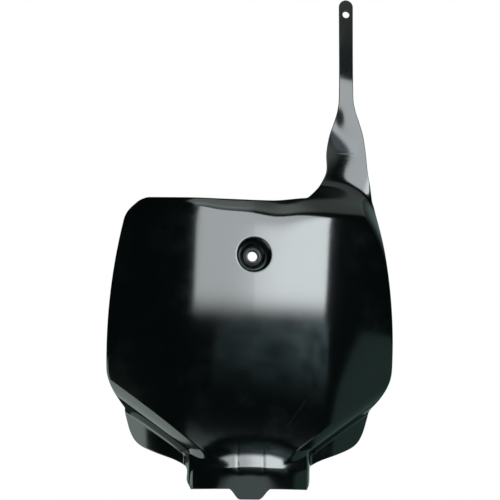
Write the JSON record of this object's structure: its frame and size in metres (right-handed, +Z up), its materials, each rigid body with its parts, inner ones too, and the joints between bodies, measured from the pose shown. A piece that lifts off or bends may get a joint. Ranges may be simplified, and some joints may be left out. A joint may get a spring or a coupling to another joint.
{
  "type": "racing number board",
  "caption": "Bowed front number board for an off-road motorcycle, moulded in one piece with a recessed fixing hole, stepped wings, a foot tab and a long strap.",
  "frame": {"origin": "on the axis of the centre hole, at the back of its seat", "axes": "+Z up along the board and its strap, -Y out of the front face, +X towards the strap's side"},
  "size_m": [0.247, 0.0591, 0.4355],
  "materials": {
    "black_plastic": "smooth gloss injection-moulded polypropylene, black"
  },
  "bodies": {
    "root": {"number_board": "black_plastic"}
  },
  "joints": []
}
